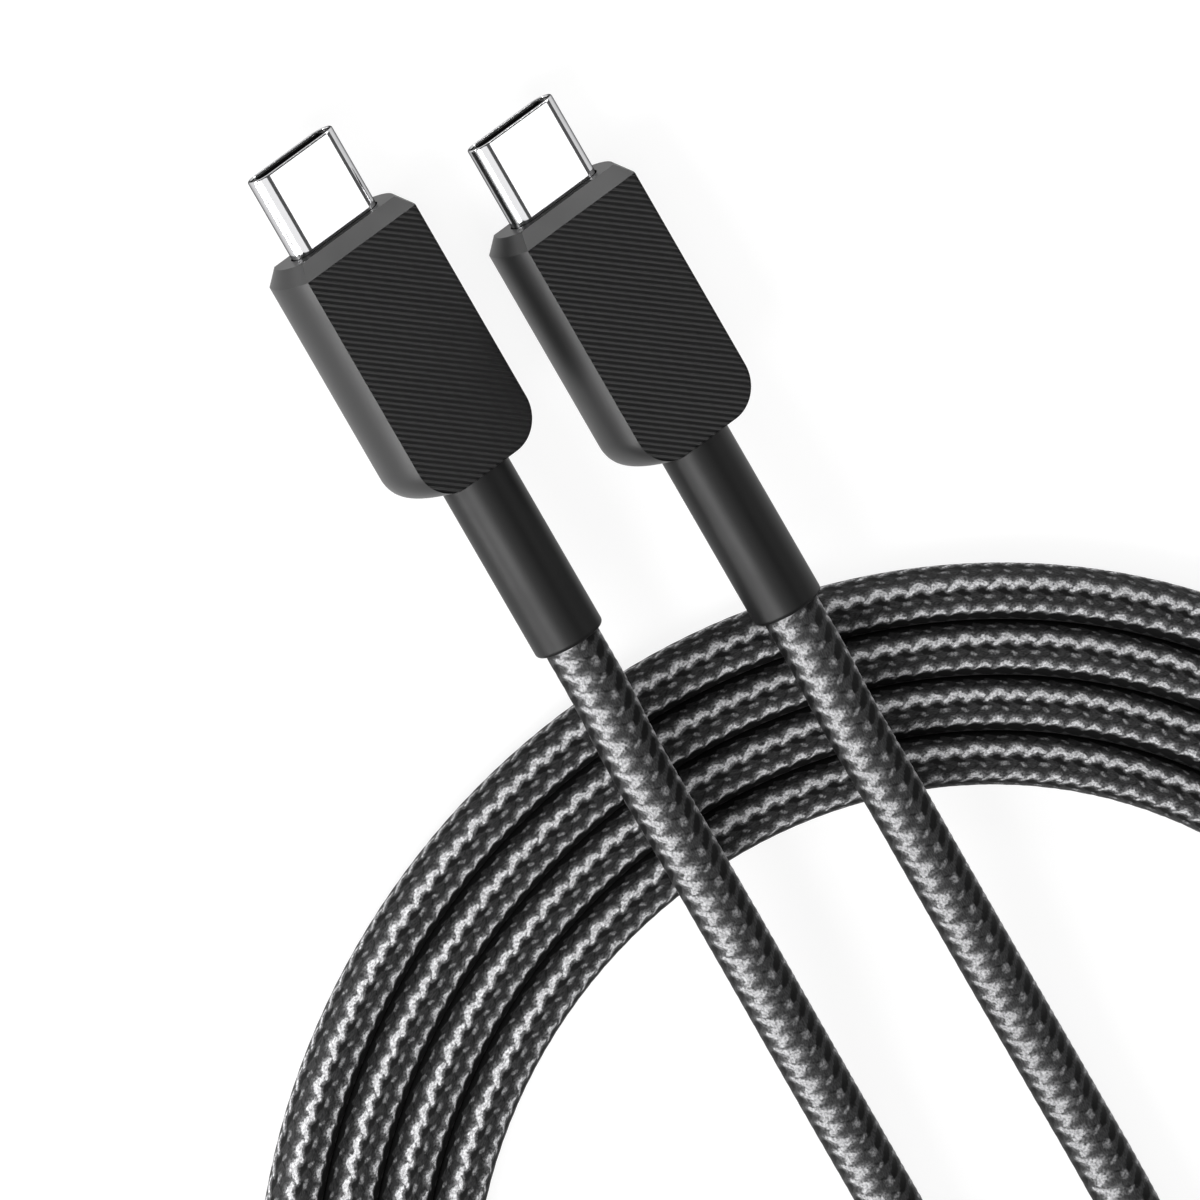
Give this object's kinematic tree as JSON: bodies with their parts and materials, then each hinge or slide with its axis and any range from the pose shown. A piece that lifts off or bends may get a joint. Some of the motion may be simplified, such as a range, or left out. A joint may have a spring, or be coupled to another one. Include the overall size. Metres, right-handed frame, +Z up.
{
  "type": "charging cable",
  "caption": "Braided charging cable with a slot-shaped metal plug on each end, wound in a flat round coil with both plugs lying side by side.",
  "frame": {"origin": "middle of the two plugs' bounding box, at table height (z = 0)", "axes": "+Y along the plugs towards their tips, +X across the pair, +Z up from the table"},
  "size_m": [0.1116, 0.1592, 0.0105],
  "materials": {
    "steel_shell": "polished drawn steel",
    "latch_steel": "spring steel",
    "contacts": "gold plated",
    "insulator": "moulded black",
    "board": "solder mask",
    "chip": "matt package",
    "tinned_shield": "tinned",
    "inner_mould": "natural",
    "jacket": "matt",
    "housing": "satin, finely ribbed faces",
    "strain_relief": "satin",
    "braid": "two-tone nylon braid"
  },
  "bodies": {
    "root": {"left_shell": "steel_shell", "left_insulator": "insulator", "left_upper_contacts": "contacts", "left_lower_contacts": "contacts", "left_latch_plate": "latch_steel", "left_circuit_board": "board", "left_marker_chip": "chip", "left_shield_can": "tinned_shield", "left_inner_mould": "inner_mould", "left_crimp_ferrule": "tinned_shield", "left_cable_core": "jacket", "left_housing": "housing", "left_strain_relief": "strain_relief", "right_shell": "steel_shell", "right_insulator": "insulator", "right_upper_contacts": "contacts", "right_lower_contacts": "contacts", "right_latch_plate": "latch_steel", "right_circuit_board": "board", "right_marker_chip": "chip", "right_shield_can": "tinned_shield", "right_inner_mould": "inner_mould", "right_crimp_ferrule": "tinned_shield", "right_cable_core": "jacket", "right_housing": "housing", "right_strain_relief": "strain_relief", "left_lead": "braid", "coil": "braid", "right_lead": "braid"}
  },
  "joints": []
}
